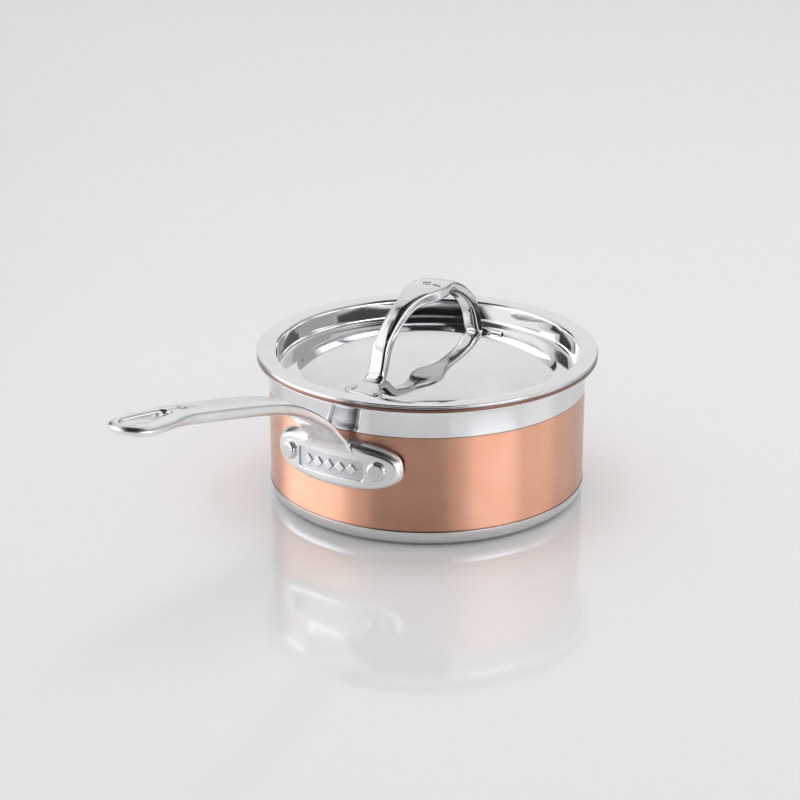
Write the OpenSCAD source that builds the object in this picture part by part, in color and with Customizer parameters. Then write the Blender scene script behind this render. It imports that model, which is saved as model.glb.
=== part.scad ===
// Clad copper saucepan with a recessed lid.
// Origin: centre of the underside of the base. +Z is up and the long handle points along +X.

/* [Pan] */
// Outer diameter of the steel rim band
pan_d = 165; // [150:1:190]
// Height from the table to the top of the lip
pan_h = 76.5; // [72:0.5:100]
// Outer radius of the rounded corner between base and wall
corner_r = 7.6; // [6:0.1:9]
// Outer radius of the bend from the wall to the pouring lip
flare_r = 3.7; // [3:0.1:5]
// Width of the level ring at the top of the lip
lip_flat = 2; // [1.5:0.1:3]
// Height where the steel base shell ends and the bare copper starts
copper_from = 8.5; // [8:0.1:12]
// Height where the bare copper ends and the steel rim band starts
copper_to = 58.9; // [57:0.1:62]

/* [Plies] */
// Thickness of the inner steel liner
liner_t = 0.4; // [0.3:0.05:0.6]
// Thickness of the aluminium core
core_t = 1.4; // [1:0.1:2]
// Thickness of the copper ply
copper_t = 0.4; // [0.3:0.05:0.6]
// Thickness of the outer steel ply of the base shell and the rim band
shell_t = 0.4; // [0.3:0.05:0.6]
// How far from the cut edge of the lip the aluminium core ends
core_stop = 1.2; // [0.8:0.1:2]

/* [Handle plate] */
// Width of the plate, measured round the wall
plate_w = 80.6; // [70:0.2:90]
// Height of the plate
plate_h = 27.2; // [24:0.2:30]
// Height of the middle of the plate above the table
plate_z = 41.9; // [38:0.1:44]
// Thickness of the plate in its middle
plate_t = 5.9; // [4.5:0.1:7]
// Width of the sunk panel on the plate
panel_w = 39.4; // [30:0.2:42]
// Height of the sunk panel on the plate
panel_h = 10.6; // [8:0.2:12]
// Depth of the sunk panel
panel_depth = 0.9; // [0.5:0.1:1.2]
// Number of diamonds in the panel's relief
diamonds = 5; // [3:1:7]

/* [Handle rivets] */
// Angle round the pan between the middle of the plate and each rivet
rivet_angle = 17.4; // [15:0.1:20]
// Diameter of the rivet shank
rivet_d = 6.4; // [5:0.1:7]
// Diameter of the outer rivet head
rivet_head_d = 9.6; // [9:0.1:10]
// How far the rivet head stands out from the plate
rivet_proud = 1.8; // [1.2:0.1:2.4]
// Radius of the rivet head's rounded shoulder
rivet_shoulder = 1; // [0.6:0.1:1.1]

/* [Long handle] */
// Half width of the stem along its straight stretch
stem_half_w = 10; // [8:0.1:12]
// Half width of the loop end
loop_half_w = 12; // [11:0.1:14]
// Radius of the wide end of the hanging slot
slot_r = 6.2; // [4:0.1:6.6]
// Radius of the narrow end of the hanging slot
slot_tip_r = 3.2; // [2.2:0.1:3.5]

/* [Lid] */
// Thickness of the lid sheet
lid_t = 1; // [0.8:0.1:1.4]
// Gap between the lip and the lid flange
seat_gap = 0.1; // [0.1:0.05:0.3]
// Depth of the gutter, from the top of the flange to the bottom of the well
well_depth = 11.6; // [11:0.1:13]
// Inner radius of the well at its top
well_r = 78.2; // [76:0.1:78.4]
// How far the well's wall leans in towards the bottom
well_taper = 0.6; // [0:0.1:1]
// Height of the domed disc's middle above the top of the flange
dome_rise = 0.5; // [0:0.1:1.5]
// Radius of the dome's curve
dome_r = 191; // [185:1:200]
// Radius where the dome ends and the gutter starts
dome_edge = 67; // [66:0.1:68]

/* [Lid handle] */
// Half width of the arch's legs
strap_half_w = 4.6; // [4:0.1:6]
// Half width of the saddle at the crest
saddle_half_w = 10.2; // [8:0.1:12]
// How far the saddle's edges droop, for each millimetre that it is wider than the legs
saddle_droop = 0.25; // [0.1:0.05:0.5]
// Half width of each flared foot
foot_half_w = 10.6; // [10:0.1:12]
// Thickness of each foot
foot_t = 1.6; // [1.4:0.1:2.4]
// Distance of the foot rivets from the middle of the lid, along the arch
foot_rivet_x = 56.4; // [55.5:0.1:57]
// Distance of the foot rivets from the arch's plane
foot_rivet_y = 6.6; // [6:0.1:7]
// Diameter of the foot rivets' shanks
foot_rivet_d = 3; // [2.5:0.1:3.4]
// Diameter of the foot rivets' heads
foot_head_d = 5; // [4.4:0.1:5.4]
// Height of the foot rivets' heads
foot_head_t = 0.6; // [0.5:0.1:1]

/* [Hidden] */

STEEL = "#c9cbcd";
SATIN = "#b9bcbf";
COPPER = "#d9926b";
ALUMINIUM = "#a4a7ab";
ROUND = 180;

pan_r = pan_d / 2;
wall_t = liner_t + core_t + copper_t + shell_t;
flare_z = pan_h - wall_t - flare_r;
lip_r = pan_r + flare_r + lip_flat;

// Depths of the ply faces, counted inwards from the pan's outer face.
copper_at = shell_t;
core_at = copper_at + copper_t;
liner_at = core_at + core_t;
copper_r = pan_r - copper_at;

plate_r = copper_r + plate_t;
rivet_z = plate_z;
rivet_face_r = plate_r + rivet_proud;
rivet_under = 0.4;
foot_under = 0.2;
panel_z = plate_z - 1;
panel_corner_r = 1.6;
diamond_pitch = panel_w / (diamonds + 1);

flange_z = pan_h + seat_gap;
flange_top = flange_z + lid_t;
gutter_z = flange_top - well_depth;
dome_centre = flange_top + dome_rise - dome_r;

// Height of the domed disc's upper face at a distance from the lid's middle.
function dome_z(d) = dome_centre + sqrt(dome_r * dome_r - d * d);

// Stations along the long handle: distance from the pan's axis, height, half width,
// half thickness. The first two lie inside the plate.
HANDLE = [
    [84.4, 46, 11.6, 2.1],
    [86, 51.2, 11.8, 2.1],
    [90.4, 57.5, 11.8, 2.1],
    [97.1, 64.6, 11.5, 2.2],
    [106.2, 72.1, 10.8, 2.7],
    [118, 79.7, stem_half_w + 0.2, 3.2],
    [134, 86.5, stem_half_w, 3.5],
    [152, 91.6, stem_half_w - 0.1, 3.5],
    [172, 96.3, stem_half_w - 0.5, 3.5],
    [190, 100.4, stem_half_w - 0.8, 3.5],
    [203, 103.4, stem_half_w - 0.5, 3.4],
    [212, 105.2, stem_half_w + 0.6, 3.3],
    [221, 106.4, loop_half_w - 0.3, 3.3],
    [228.4, 107.2, loop_half_w, 3.3]
];
loop_centre = HANDLE[len(HANDLE) - 1];
loop_tilt = 8;
slot_back = 19.5;
slot_ahead = 1.6;

// Stations along half of the lid handle's arch, from the crest to where it meets the foot:
// distance from the lid's middle, height, half width, half thickness.
ARCH = [
    [0, 108.4, saddle_half_w, 3.3],
    [6, 108.1, saddle_half_w - 0.4, 3.3],
    [11, 107.4, saddle_half_w - 1.6, 3.3],
    [15.5, 106.3, strap_half_w + 2.3, 3.3],
    [20.5, 104.6, strap_half_w + 0.8, 3.3],
    [28, 100.7, strap_half_w + 0.1, 3.3],
    [33.8, 96.3, strap_half_w, 3.3],
    [38.5, 91.2, strap_half_w, 3.3],
    [41.3, 85.9, strap_half_w, 3.2],
    [42.9, 80.6, strap_half_w, 3.1],
    [44.8, 75.6, strap_half_w - 0.1, 2.6],
    [48.6, dome_z(48.6) + 2, strap_half_w, 1.7],
    [54, dome_z(54) + 0.8, strap_half_w + 0.4, 1.1]
];

// Point at u on a smooth curve through the stations, where whole numbers are stations.
function along(p, u) =
    let (
        n = len(p), i = min(floor(u), n - 2), f = u - i,
        a = p[max(i - 1, 0)], b = p[i], c = p[i + 1], d = p[min(i + 2, n - 1)]
    )
    0.5 * (2 * b + (c - a) * f + (2 * a - 5 * b + 4 * c - d) * f * f
        + (3 * b - a - 3 * c + d) * f * f * f);

// Direction of the curve at u, as an angle above the horizontal.
function slope(p, u) =
    let (e = 0.01, q = along(p, min(u + e, len(p) - 1)) - along(p, max(u - e, 0)))
    atan2(q[1], q[0]);

function signed_pow(v, e) = sign(v) * pow(abs(v), e);

// One ring of a swept bar: width across Y, thickness across the slope. top_e and low_e
// give the upper and lower halves their roundness: 1 is an ellipse and less is squarer.
// droop lowers the edges.
function ring(s, tilt, sides, top_e, low_e, droop = 0) = [
    for (k = [0:sides - 1])
    let (
        a = 360 * k / sides,
        upper = sin(a) > 0,
        across = signed_pow(cos(a), upper ? top_e : low_e),
        n = s[3] * signed_pow(sin(a), upper ? top_e : low_e) - droop * across * across
    )
    [s[0] - n * sin(tilt), s[2] * across, s[1] + n * cos(tilt)]
];

function middle(p) = [for (c = [0:2]) sum([for (q = p) q[c]]) / len(p)];
function sum(v) = v * [for (x = v) 1];

// Closed solid through rings that all have the same number of points.
module skin(rings) {
    sides = len(rings[0]);
    last = len(rings) - 1;
    points = [for (r = rings) for (p = r) p];
    walls = [
        for (i = [0:last - 1], k = [0:sides - 1])
        let (a = i * sides + k, b = i * sides + (k + 1) % sides)
        each [[b, a, b + sides], [b + sides, a, a + sides]]
    ];
    // Each end is closed by a fan of triangles round its middle.
    first = last * sides + sides;
    fans = [
        for (k = [0:sides - 1])
        let (next = (k + 1) % sides)
        each [[k, next, first], [last * sides + next, last * sides + k, first + 1]]
    ];
    middles = [middle(rings[0]), middle(rings[last])];
    polyhedron(concat(points, middles), concat(walls, fans), convexity = 6);
}

// Points of an arc in the profile plane, from angle a to angle b.
function arc(cx, cz, r, a, b, steps) =
    [for (i = [0:steps]) let (t = a + (b - a) * i / steps) [cx + r * cos(t), cz + r * sin(t)]];

function reversed(p) = [for (i = [len(p) - 1:-1:0]) p[i]];

// Face of the clad sheet at a depth from the pan's outer face: floor and corner, then
// bend and lip.
function floor_face(depth) = concat(
    [[0, depth]],
    arc(pan_r - corner_r, corner_r, corner_r - depth, -90, 0, 10)
);
function lip_face(depth, edge) = concat(
    arc(pan_r + flare_r, flare_z, flare_r + depth, 180, 90, 10),
    [[edge, flare_z + flare_r + depth]]
);
function full_face(depth, edge) = concat(floor_face(depth), lip_face(depth, edge));

module turned(points) {
    rotate_extrude($fn = ROUND) polygon(points);
}

// Places children at a rivet: the rivet's axis is local Z, pointing away from the pan.
module at_rivet(side) {
    rotate([0, 0, side * rivet_angle]) translate([0, 0, rivet_z]) rotate([0, 90, 0]) children();
}

module rivet_holes() {
    for (side = [-1, 1])
        at_rivet(side) translate([0, 0, pan_r - 10]) cylinder(h = 20, d = rivet_d, $fn = 48);
}

// Level seats that the outer rivet heads rest on.
module rivet_seats() {
    for (side = [-1, 1])
        at_rivet(side) translate([0, 0, plate_r - rivet_under]) cylinder(h = 10, d = rivet_head_d, $fn = 64);
}

module inner_liner() {
    color(STEEL) difference() {
        turned(concat(full_face(liner_at, lip_r), reversed(full_face(wall_t, lip_r))));
        rivet_holes();
    }
}

module aluminium_core() {
    color(ALUMINIUM) difference() {
        turned(concat(
            full_face(core_at, lip_r - core_stop),
            reversed(full_face(liner_at, lip_r - core_stop))
        ));
        rivet_holes();
    }
}

module copper_wall() {
    stop = lip_r - core_stop;
    top = flare_z + flare_r;
    color(COPPER) difference() {
        turned(concat(
            full_face(copper_at, lip_r),
            [[lip_r, top + liner_at], [stop, top + liner_at], [stop, top + core_at]],
            reversed(full_face(core_at, stop))
        ));
        rivet_holes();
    }
}

module rim_band() {
    color(STEEL) turned(concat(
        [[pan_r - shell_t, copper_to], [pan_r, copper_to]],
        lip_face(0, lip_r),
        reversed(lip_face(shell_t, lip_r))
    ));
}

module base_shell() {
    color(STEEL) turned(concat(
        floor_face(0),
        [[pan_r, copper_from], [pan_r - shell_t, copper_from]],
        reversed(floor_face(shell_t))
    ));
}

// Point on the plate: a is measured round the wall at the plate's face.
function on_plate(a, z, r) =
    let (t = a / plate_r * 180 / PI) [r * cos(t), r * sin(t), z];

function plate_ring(inset, r, k = 1) = [
    for (i = [0:63])
    let (
        t = 360 * i / 64,
        a = k * (plate_w / 2 - inset) * signed_pow(cos(t), 0.76),
        z = k * (plate_h / 2 - inset) * signed_pow(sin(t), 0.76)
    )
    on_plate(a, plate_z + z, r)
];

// Pillow-shaped plate, rounded at its rim and curved round the pan.
module plate_body() {
    back_r = copper_r - 2;
    edge = [
        [0.3, 0.28], [0, 0.45], [0.25, 0.62], [1, 0.8], [2.2, 0.93], [3.8, 1]
    ];
    skin(concat(
        [for (k = [0.3, 0.6]) plate_ring(0.3, back_r, k)],
        [plate_ring(0.3, back_r)],
        [for (e = edge) plate_ring(e[0], copper_r + plate_t * e[1])],
        [for (k = [0.85, 0.7, 0.55, 0.4, 0.25]) plate_ring(3.8, plate_r, k)]
    ));
}

module rounded_bar(w, h, r) {
    for (x = [-1, 1], y = [-1, 1])
        translate([x * (w / 2 - r), y * (h / 2 - r)]) circle(r, $fn = 32);
    square([w - 2 * r, h], center = true);
    square([w, h - 2 * r], center = true);
}

// Extrudes a shape drawn on the panel, X to the side and Y up, from the pan outwards.
module outwards() {
    translate([plate_r - 12, 0, panel_z]) rotate([90, 0, 90])
        linear_extrude(20) children();
}

// Shell of the plate's face between two depths under it.
module face_shell(deep, high) {
    difference() {
        cylinder(h = pan_h, r = plate_r - high, $fn = ROUND);
        cylinder(h = pan_h * 3, r = plate_r - deep, center = true, $fn = ROUND);
    }
}

module panel_cut() {
    intersection() {
        face_shell(panel_depth, -3);
        outwards() rounded_bar(panel_w, panel_h, panel_corner_r);
    }
}

module panel_relief() {
    intersection() {
        face_shell(panel_depth + 0.5, 0.15);
        outwards() for (i = [0:diamonds - 1])
            translate([(i - (diamonds - 1) / 2) * diamond_pitch, 0])
                rotate(45) square(panel_h * 0.42, center = true);
    }
}

module handle_bar() {
    last = len(HANDLE) - 1;
    step = 0.25;
    tip = loop_half_w;
    skin(concat(
        [
            for (u = [0:step:last])
            ring(along(HANDLE, u), slope(HANDLE, u), 28, 0.48, 0.59)
        ],
        [
            for (t = [12:12:84])
            let (s = loop_centre, g = tip * sin(t))
            ring(
                [s[0] + g * cos(loop_tilt), s[1] + g * sin(loop_tilt), s[2] * cos(t),
                    s[3] * pow(cos(t), 0.5)],
                loop_tilt, 28, 0.48, 0.59
            )
        ]
    ));
}

// Teardrop slot: a round end, a narrow end and the straight sides between them.
module slot_shape() {
    circle(slot_r, $fn = 48);
    translate([-slot_back, 0]) circle(slot_tip_r, $fn = 32);
    lean = asin((slot_r - slot_tip_r) / slot_back);
    wide = slot_r * [-sin(lean), cos(lean)];
    narrow = slot_tip_r * [-sin(lean), cos(lean)] - [slot_back, 0];
    polygon([wide, narrow, [narrow[0], -narrow[1]], [wide[0], -wide[1]]]);
}

module long_handle() {
    color(SATIN) difference() {
        union() {
            difference() {
                union() {
                    plate_body();
                    handle_bar();
                }
                panel_cut();
            }
            panel_relief();
        }
        cylinder(h = pan_h * 3, r = copper_r, center = true, $fn = ROUND);
        rivet_holes();
        rivet_seats();
        translate([loop_centre[0], 0, loop_centre[1]]) rotate([0, -loop_tilt, 0])
            translate([slot_ahead, 0, -10]) linear_extrude(20) slot_shape();
    }
}

// Head from just under the plate's face, so that it closes on the curved plate.
module rivet_head() {
    half = rivet_head_d / 2;
    top = plate_r + rivet_proud;
    rotate_extrude($fn = 64) polygon(concat(
        [[0, plate_r - rivet_under], [half, plate_r - rivet_under]],
        arc(half - rivet_shoulder, top - rivet_shoulder, rivet_shoulder, 0, 90, 5),
        [[0, top]]
    ));
}

module handle_rivet(side) {
    color(SATIN) difference() {
        at_rivet(side) {
            translate([0, 0, pan_r - wall_t - 1])
                cylinder(h = rivet_face_r - pan_r + wall_t + 0.5, d = rivet_d, $fn = 48);
            rivet_head();
        }
        cylinder(h = pan_h * 3, r = pan_r - wall_t, center = true, $fn = ROUND);
    }
}

module handle_rivet_left() { handle_rivet(1); }
module handle_rivet_right() { handle_rivet(-1); }

// Places children at a foot rivet: local Z is square to the dome and its origin lies on the
// disc. end is 1 at the long handle's side, side is 1 towards +Y.
module at_foot_rivet(end, side) {
    out = sqrt(foot_rivet_x * foot_rivet_x + foot_rivet_y * foot_rivet_y);
    translate([0, 0, dome_centre])
        rotate([0, asin(out / dome_r), atan2(side * foot_rivet_y, end * foot_rivet_x)])
            translate([0, 0, dome_r]) children();
}

module foot_rivet_holes() {
    for (end = [-1, 1], side = [-1, 1])
        at_foot_rivet(end, side) translate([0, 0, -6]) cylinder(h = 12, d = foot_rivet_d, $fn = 32);
}

module foot_rivet_seats() {
    for (end = [-1, 1], side = [-1, 1])
        at_foot_rivet(end, side)
            translate([0, 0, foot_t - foot_under]) cylinder(h = 6, d = foot_head_d, $fn = 48);
}

// Face of the lid sheet at a depth under its upper side: dome, gutter, wall and bend.
function lid_face(depth) =
    let (
        edge = asin(dome_edge / dome_r),
        foot_of_wall = well_r - well_taper,
        corner = 2.6,
        bend = 2
    )
    concat(
        arc(0, dome_centre, dome_r - depth, 90, 90 - edge, 8),
        [[dome_edge + 2.6 - depth / 3, gutter_z - depth]],
        arc(foot_of_wall - corner, gutter_z + corner, corner + depth, -90, 0, 6),
        arc(well_r + bend, flange_top - bend, bend - depth, 180, 90, 6)
    );

module lid_shell() {
    rim = arc(lip_r - lid_t / 2, flange_z + lid_t / 2, lid_t / 2, 90, -90, 6);
    color(STEEL) difference() {
        turned(concat(lid_face(0), rim, reversed(lid_face(lid_t))));
        foot_rivet_holes();
    }
}

// Outline of one foot: a fan that widens from the leg to two tails.
module foot_outline() {
    half = [
        [46.5, strap_half_w - 0.8],
        [51, strap_half_w + 0.6],
        [foot_rivet_x - 1.4, foot_half_w - 2],
        [foot_rivet_x + 1.4, foot_half_w],
        [foot_rivet_x + 4, foot_half_w - 2.4],
        [foot_rivet_x + 3.4, 0]
    ];
    edge = [for (u = [0:0.25:len(half) - 1]) along(half, u)];
    polygon(concat(edge, [for (p = reversed(edge)) [p[0], -p[1]]]));
}

// Foot that lies on the dome, between two spheres about the dome's centre.
module foot() {
    intersection() {
        linear_extrude(pan_h * 2) foot_outline();
        translate([0, 0, dome_centre]) difference() {
            sphere(r = dome_r + foot_t, $fn = ROUND);
            sphere(r = dome_r, $fn = ROUND);
        }
    }
}

module arch() {
    last = len(ARCH) - 1;
    whole = concat([for (i = [last:-1:1]) let (s = ARCH[i]) [-s[0], s[1], s[2], s[3]]], ARCH);
    skin([
        for (u = [0:0.25:2 * last])
        let (s = along(whole, u), flare = max(0, s[2] - strap_half_w - 0.6))
        ring(s, slope(whole, u), 24, 0.5, 0.5, saddle_droop * flare)
    ]);
}

module lid_handle() {
    color(SATIN) difference() {
        union() {
            arch();
            for (turn = [0, 180]) rotate([0, 0, turn]) foot();
        }
        foot_rivet_holes();
        foot_rivet_seats();
        translate([0, 0, dome_centre]) sphere(r = dome_r, $fn = ROUND);
    }
}

// Rivet through a foot and the disc, with a low head above and below.
module lid_rivet(end, side) {
    low = -lid_t - foot_head_t - foot_under;
    color(SATIN) at_foot_rivet(end, side) {
        translate([0, 0, foot_t - foot_under])
            cylinder(h = foot_head_t + foot_under, d = foot_head_d, $fn = 48);
        translate([0, 0, low]) cylinder(h = foot_head_t, d = foot_head_d, $fn = 48);
        translate([0, 0, low]) cylinder(h = foot_t + foot_head_t - low, d = foot_rivet_d, $fn = 32);
    }
}

module lid_rivet_front_left() { lid_rivet(1, 1); }
module lid_rivet_front_right() { lid_rivet(1, -1); }
module lid_rivet_back_left() { lid_rivet(-1, 1); }
module lid_rivet_back_right() { lid_rivet(-1, -1); }

inner_liner();
aluminium_core();
copper_wall();
rim_band();
base_shell();
long_handle();
handle_rivet_left();
handle_rivet_right();
lid_shell();
lid_handle();
lid_rivet_front_left();
lid_rivet_front_right();
lid_rivet_back_left();
lid_rivet_back_right();
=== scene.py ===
"""Clad copper saucepan with a recessed steel lid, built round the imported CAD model.

Shapes are worked out in millimetres, in the model's own frame: origin at the centre of the
base, +Z up, long handle along +X. They are scaled to metres when a mesh is made. The camera
and the studio are in metres.
"""

import math

import bmesh
import bpy
import numpy as np
from mathutils import Matrix, Vector


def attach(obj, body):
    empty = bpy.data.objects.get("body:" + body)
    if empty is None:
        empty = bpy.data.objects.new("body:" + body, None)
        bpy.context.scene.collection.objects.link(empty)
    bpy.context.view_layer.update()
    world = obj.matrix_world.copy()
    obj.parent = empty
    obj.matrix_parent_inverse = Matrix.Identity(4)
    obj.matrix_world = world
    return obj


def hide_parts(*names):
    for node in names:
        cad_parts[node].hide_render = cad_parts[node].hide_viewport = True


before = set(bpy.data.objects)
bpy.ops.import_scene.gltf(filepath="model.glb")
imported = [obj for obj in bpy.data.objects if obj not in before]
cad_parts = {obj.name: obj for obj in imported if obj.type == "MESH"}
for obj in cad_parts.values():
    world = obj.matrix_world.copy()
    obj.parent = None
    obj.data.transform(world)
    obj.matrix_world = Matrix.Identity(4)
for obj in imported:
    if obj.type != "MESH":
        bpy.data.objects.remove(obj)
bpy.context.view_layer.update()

MM = 0.001
TINY = 1e-6

# ---------------------------------------------------------------- sizes of the pan

PAN_R = 82.5
PAN_H = 76.5
CORNER_R = 7.6
FLARE_R = 3.7
LIP_FLAT = 2.0
COPPER_FROM = 8.5
COPPER_TO = 58.9
PLY = 0.4
CORE_T = 1.4
CORE_STOP = 1.2
SHEET_EDGE_R = 0.2
LINER_AT = 2 * PLY + CORE_T
WALL_T = 3 * PLY + CORE_T
COPPER_R = PAN_R - PLY
FLARE_Z = PAN_H - WALL_T - FLARE_R
LIP_R = PAN_R + FLARE_R + LIP_FLAT
LIP_Z = FLARE_Z + FLARE_R

# ---------------------------------------------------------------- sizes of the long handle

# Plate
PLATE_HALF_W = 40.3
PLATE_HALF_H = 13.6
PLATE_Z = 41.9
PLATE_T = 5.9
PLATE_R = COPPER_R + PLATE_T
PLATE_POWER = 2.63
PLATE_EDGE_POWER = 1.7
PLATE_EDGE_IN = 4.7
PLATE_EDGE_DOWN = 5.2

# Sunk panel in the plate, with a row of raised diamonds
PANEL_HALF_W = 19.7
PANEL_HALF_H = 5.3
PANEL_BELOW_MIDDLE = 1
PANEL_Z = PLATE_Z - PANEL_BELOW_MIDDLE
PANEL_DEPTH = 0.9
PANEL_CORNER_R = 1.6
PANEL_EDGE = 0.25
PANEL_FINISH_OUT = 0.1
PANEL_FINISH_FROM = 0.75 * PANEL_DEPTH
PANEL_FINISH_TO = 2.0
DIAMONDS = 5
DIAMOND_PITCH = 2 * PANEL_HALF_W / (DIAMONDS + 1)
DIAMOND_HALF = 2.9
DIAMOND_TOP = 0.1
DIAMOND_ROOT = 3.0
DIAMOND_FILLET = 0.2

# Rivets
RIVET_ANGLE = math.radians(17.4)
RIVET_R = 3.2
RIVET_GAP = 0.01
RIVET_HEAD_R = 4.9
RIVET_PROUD = 2.0
RIVET_SUNK = 0.4
RIVET_SHOULDER = 1.35
RIVET_INSIDE = 0.15
RIVET_END_R = PAN_R - WALL_T - RIVET_INSIDE
HEAD_SHOULDER_START = 84
HEAD_FLAT_BACK = 1.6

# Bar: distance from the pan's axis, height, half width, half thickness
STEM = np.array([
    (84.4, 46.0, 11.6, 2.1),
    (86.0, 51.2, 11.8, 2.1),
    (90.4, 57.5, 11.8, 2.1),
    (97.1, 64.6, 11.5, 2.2),
    (106.2, 72.1, 10.8, 2.7),
    (118.0, 79.7, 10.2, 3.2),
    (134.0, 86.5, 10.0, 3.5),
    (152.0, 91.6, 9.9, 3.5),
    (172.0, 96.3, 9.5, 3.5),
    (190.0, 100.4, 9.2, 3.5),
    (203.0, 103.4, 9.5, 3.4),
    (212.0, 105.2, 10.6, 3.3),
    (221.0, 106.4, 11.7, 3.3),
    (228.4, 107.2, 12.0, 3.3),
    (240.4, 108.9, 12.0, 3.2),
])
STEM_TOP_POWER = 4.2
STEM_BELLY_POWER = 3.4
NECK_FILLET = 1.4
WEB_FILLET = 5.0
WEB_BELOW = 0.1
WEB_ABOVE = 6.0
WEB_RISE = 8.0

# Loop at the bar's end, and its hanging slot
LOOP_X = 228.3
LOOP_Z = 107.2
LOOP_SOFTER = 2.2
LOOP_SOFTER_FROM = 195.0
LOOP_SOFTER_OVER = 20.0
SLOT_TILT = math.radians(8)
SLOT_AHEAD = 1.6
SLOT_BACK = 19.5
SLOT_R = 6.2
SLOT_TIP_R = 3.2
SLOT_EDGE = 2.4

# ---------------------------------------------------------------- sizes of the lid

LID_T = 1.0
LID_GAP = 0.1
FLANGE_Z = PAN_H + LID_GAP
FLANGE_TOP = FLANGE_Z + LID_T
GUTTER_DEPTH = 11.6
GUTTER_Z = FLANGE_TOP - GUTTER_DEPTH
GUTTER_CORNER_R = 2.6
WELL_R = 78.2
WELL_TAPER = 0.6
WELL_BEND_R = 2.0
DOME_R = 191.0
DOME_EDGE = 67.0
DOME_RISE = 0.5
DOME_CENTRE = FLANGE_TOP + DOME_RISE - DOME_R
DOME_TOE = 2.6
DOME_TOE_R = 3.0

# Height that the arch turns about, and where its legs are cut off inside the feet
ARCH_Z = 78.0
ARCH_BOTTOM = ARCH_Z - 12

# Arch, from the crest down one leg: distance from the lid's middle, height, half width,
# half thickness
ARCH = np.array([
    (0.0, 108.4, 10.2, 3.3),
    (5.0, 108.2, 9.7, 3.3),
    (9.5, 107.7, 8.2, 3.3),
    (14.0, 106.7, 6.5, 3.3),
    (20.5, 104.6, 5.1, 3.3),
    (28.0, 100.7, 4.7, 3.3),
    (33.8, 96.3, 4.6, 3.3),
    (38.5, 91.2, 4.6, 3.3),
    (41.3, 85.9, 4.6, 3.2),
    (42.9, 80.6, 4.6, 3.1),
    (44.5, 76.0, 4.5, 2.9),
    (46.4, 72.2, 4.5, 2.4),
])
STRAP_HALF_W = 4.6
STRAP_POWER = 4.0
SADDLE_SQUARER = 3.0
SADDLE_DROOP = 0.12
SADDLE_FROM = 0.3
SADDLE_OVER = 4

# Feet: distance from the lid's middle, half width
FOOT_OUTLINE = np.array([
    (44.0, 4.2), (47.0, 4.4), (49.5, 5.0), (52.0, 6.6), (54.5, 9.0), (56.5, 10.4),
    (58.0, 10.6), (59.4, 9.8), (60.4, 8.2), (60.6, 6.5), (61.0, 6.0),
])
FOOT_FROM = 46.0
FOOT_TO = 61.0
FOOT_T = 1.6
FOOT_EXTRA = 0.3
FOOT_EDGE = 1.0
FOOT_EDGE_SLOPE = 0.75
FOOT_FILLET = 2.2
FOOT_FILLET_MORE = 1.3
FOOT_FILLET_OVER = 2.5
FOOT_RIVET_X = 56.4
FOOT_RIVET_Y = 6.6
FOOT_RIVET_R = 1.5
FOOT_HEAD_R = 2.5
FOOT_HEAD_T = 0.6
FOOT_HEAD_SUNK = 0.2
FOOT_HEAD_SHOULDER = 0.5

# ---------------------------------------------------------------- engraved marks

# Each mark is a diamond outline between two bars, and a scale sets its size
MARK_DIAMOND = 2.2
MARK_BAR_AT = 5.6
MARK_BAR_HALF = 1.9
MARK_STROKE = 0.42
MARK_DEPTH = 0.55
NECK_MARK_Y = -7.6
NECK_MARK_Z = 57.5
NECK_MARK_SCALE = 0.9
NECK_MARK_BOTTOM = NECK_MARK_Z - 8
NECK_MARK_END_X = 104
LOOP_MARK_X = 197.0
LOOP_MARK_SCALE = 1.1
LOOP_MARK_TOP_ONLY = 3
CREST_MARK_SCALE = 1.0
CREST_MARK_BOTTOM = ARCH_Z + 28

# ---------------------------------------------------------------- fineness of the meshes

# Turned pieces
ROUND_SIDES = 288
RIVET_SIDES = 72
LID_RIVET_SIDES = 40
CORNER_STEPS = 14
FLARE_STEPS = 12
DOME_STEPS = 48
BEND_STEPS = 10
SHOULDER_STEPS = 9
EASE_STEPS = 5
EASE_SHARE = 0.45
EASE_GUARD = 1.15

# Cast pieces: lattice cells along a block's side, blocks worked out at once, distance in
# blocks at which a block is near the surface, and steps in millimetres
BLOCK = 8
BLOCKS_AT_ONCE = 400
BLOCK_REACH = 1.5
EDGE_MARGIN = 0.02
GRADIENT_GAP = 0.02
SETTLE_PASSES = 3
LANDING_PASSES = 3
LONGEST_MOVE = 0.4
LEAST_STEEP = 0.001
HANDLE_STEP = 0.41
HANDLE_SPACE = (76, -43, 26), (242, 43, 114)
LID_HANDLE_STEP = 0.3
LID_HANDLE_SPACE = (-64, -13, 64), (64, 13, 114)

# ---------------------------------------------------------------- looks

CLOUD_SCALE = 45.0
CLOUD_DETAIL = 4.0
CLOUD_RANGE = (0.35, 0.65)
SMUDGE_SCALE = 110.0
SMUDGE_DETAIL = 5.0
SMUDGE_RANGE = (0.3, 0.7)
TURNED_GRAIN_SCALE = 2600.0
STRAIGHT_GRAIN_SCALE = 2200.0
STRAIGHT_GRAIN_STRETCH = (0.06, 1, 1)
GRAIN_DETAIL = 3.0
BRUSH_TURN = 0.25
COAT_ROUGHNESS = 0.3
COAT_IOR = 1.6

# Painted shade: copper's colour is multiplied by these along the pan's height, darkening it at the
# steps to the steel base and rim band and on the lip's cut edge under the lid
STEP_SHADE = (0.20, 0.16, 0.15)
UNSHADED = (1.0, 1.0, 1.0)
CUT_EDGE_SHADE = (0.30, 0.24, 0.22)
STEP_SHADE_FROM = 0.1
STEP_SHADE_TO = 0.9
CUT_EDGE_SHADE_ABOVE = 8

CAMERA_LENS = 100.0
CAMERA_SENSOR = 36.0
CAMERA_CLIP = (0.05, 30.0)
CAMERA_BACK = Vector((0.7727, 0.5271, 0.3538)).normalized()
CAMERA_TARGET = Vector((7.9, -11.6, 47.6)) * MM
CAMERA_DISTANCE = 1.1617

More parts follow.
